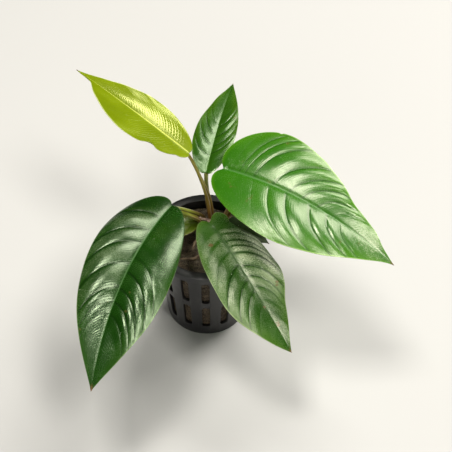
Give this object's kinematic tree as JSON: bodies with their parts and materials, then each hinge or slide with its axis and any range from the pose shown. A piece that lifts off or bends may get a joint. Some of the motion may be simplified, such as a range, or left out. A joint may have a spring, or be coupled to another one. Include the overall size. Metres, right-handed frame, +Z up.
{
  "type": "potted aquarium plant",
  "caption": "Potted aquarium plant: pointed heart-shaped leathery leaves on slender stalks rise from a creeping rhizome in mineral wool, held in a small slotted basket it stands on.",
  "frame": {"origin": "middle of the basket's underside, on the surface it stands on", "axes": "+Z up out of the basket, -Y towards the side that the picture is taken from, +X to the right of it"},
  "size_m": [0.1098, 0.1247, 0.0888],
  "materials": {
    "basket_plastic": "moulded black plastic with a slight sheen",
    "mineral_wool": "damp fibrous mineral wool, greyish brown with olive flecks",
    "rhizome": "smooth green-brown stem with brown ring scars",
    "root": "pale cream to tan, matt",
    "stalk": "yellow-green with a satin sheen, reddish brown towards the foot",
    "stalk_young": "olive yellow, orange-brown towards the foot, satin",
    "leaf_bright": "leathery bright green, semi-gloss, with sunken darker veins",
    "leaf_dark": "leathery dark green, semi-gloss, with sunken darker veins",
    "leaf_young": "tender yellow-green, glossy, with fine cross ribs",
    "leaf_olive": "leathery olive green, semi-gloss"
  },
  "bodies": {
    "root": {"net_pot": "basket_plastic", "wool_plug": "mineral_wool", "rhizome": "rhizome", "root_1": "root", "root_2": "root", "root_3": "root", "root_4": "root", "stem_right": "stalk", "leaf_right": "leaf_bright", "stem_left": "stalk", "leaf_left": "leaf_dark", "stem_front": "stalk", "leaf_front": "leaf_dark", "stem_young": "stalk_young", "leaf_young": "leaf_young", "stem_back": "stalk", "leaf_back": "leaf_dark", "stem_small": "stalk", "leaf_small": "leaf_olive", "stem_low": "stalk", "leaf_low": "leaf_olive"}
  },
  "joints": []
}
